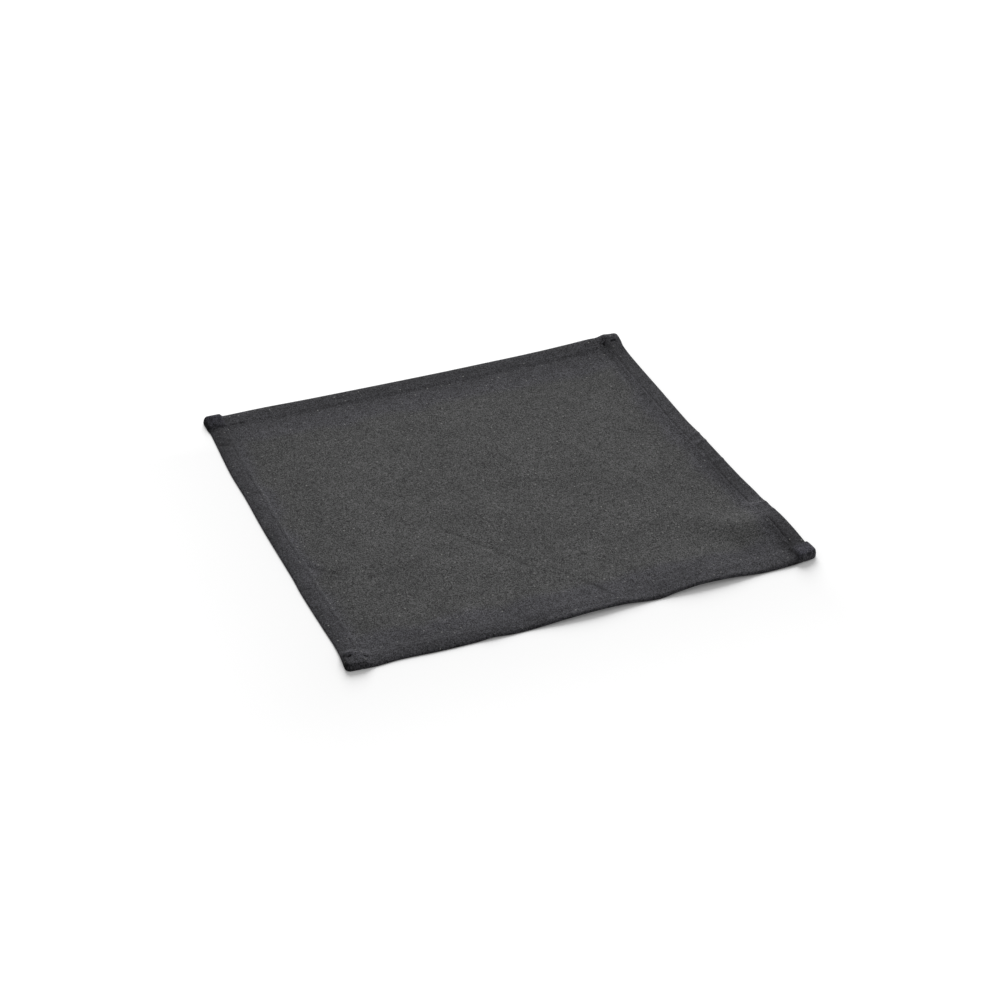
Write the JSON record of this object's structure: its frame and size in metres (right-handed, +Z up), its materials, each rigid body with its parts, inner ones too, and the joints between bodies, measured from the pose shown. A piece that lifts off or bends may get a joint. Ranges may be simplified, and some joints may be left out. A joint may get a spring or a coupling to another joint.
{
  "type": "placemat",
  "caption": "Plain woven cloth place mat, nearly square, with turned and sewn hems on every side and thick folded corners, lying flat on a table.",
  "frame": {"origin": "on the table, under the middle of the mat", "axes": "+X along the front edge towards its right end, +Y towards the back edge, +Z up out of the table"},
  "size_m": [0.4026, 0.3936, 0.009],
  "materials": {
    "charcoal_cloth": "matt plain-woven cotton, charcoal grey"
  },
  "bodies": {
    "root": {"mat_cloth": "charcoal_cloth"}
  },
  "joints": []
}
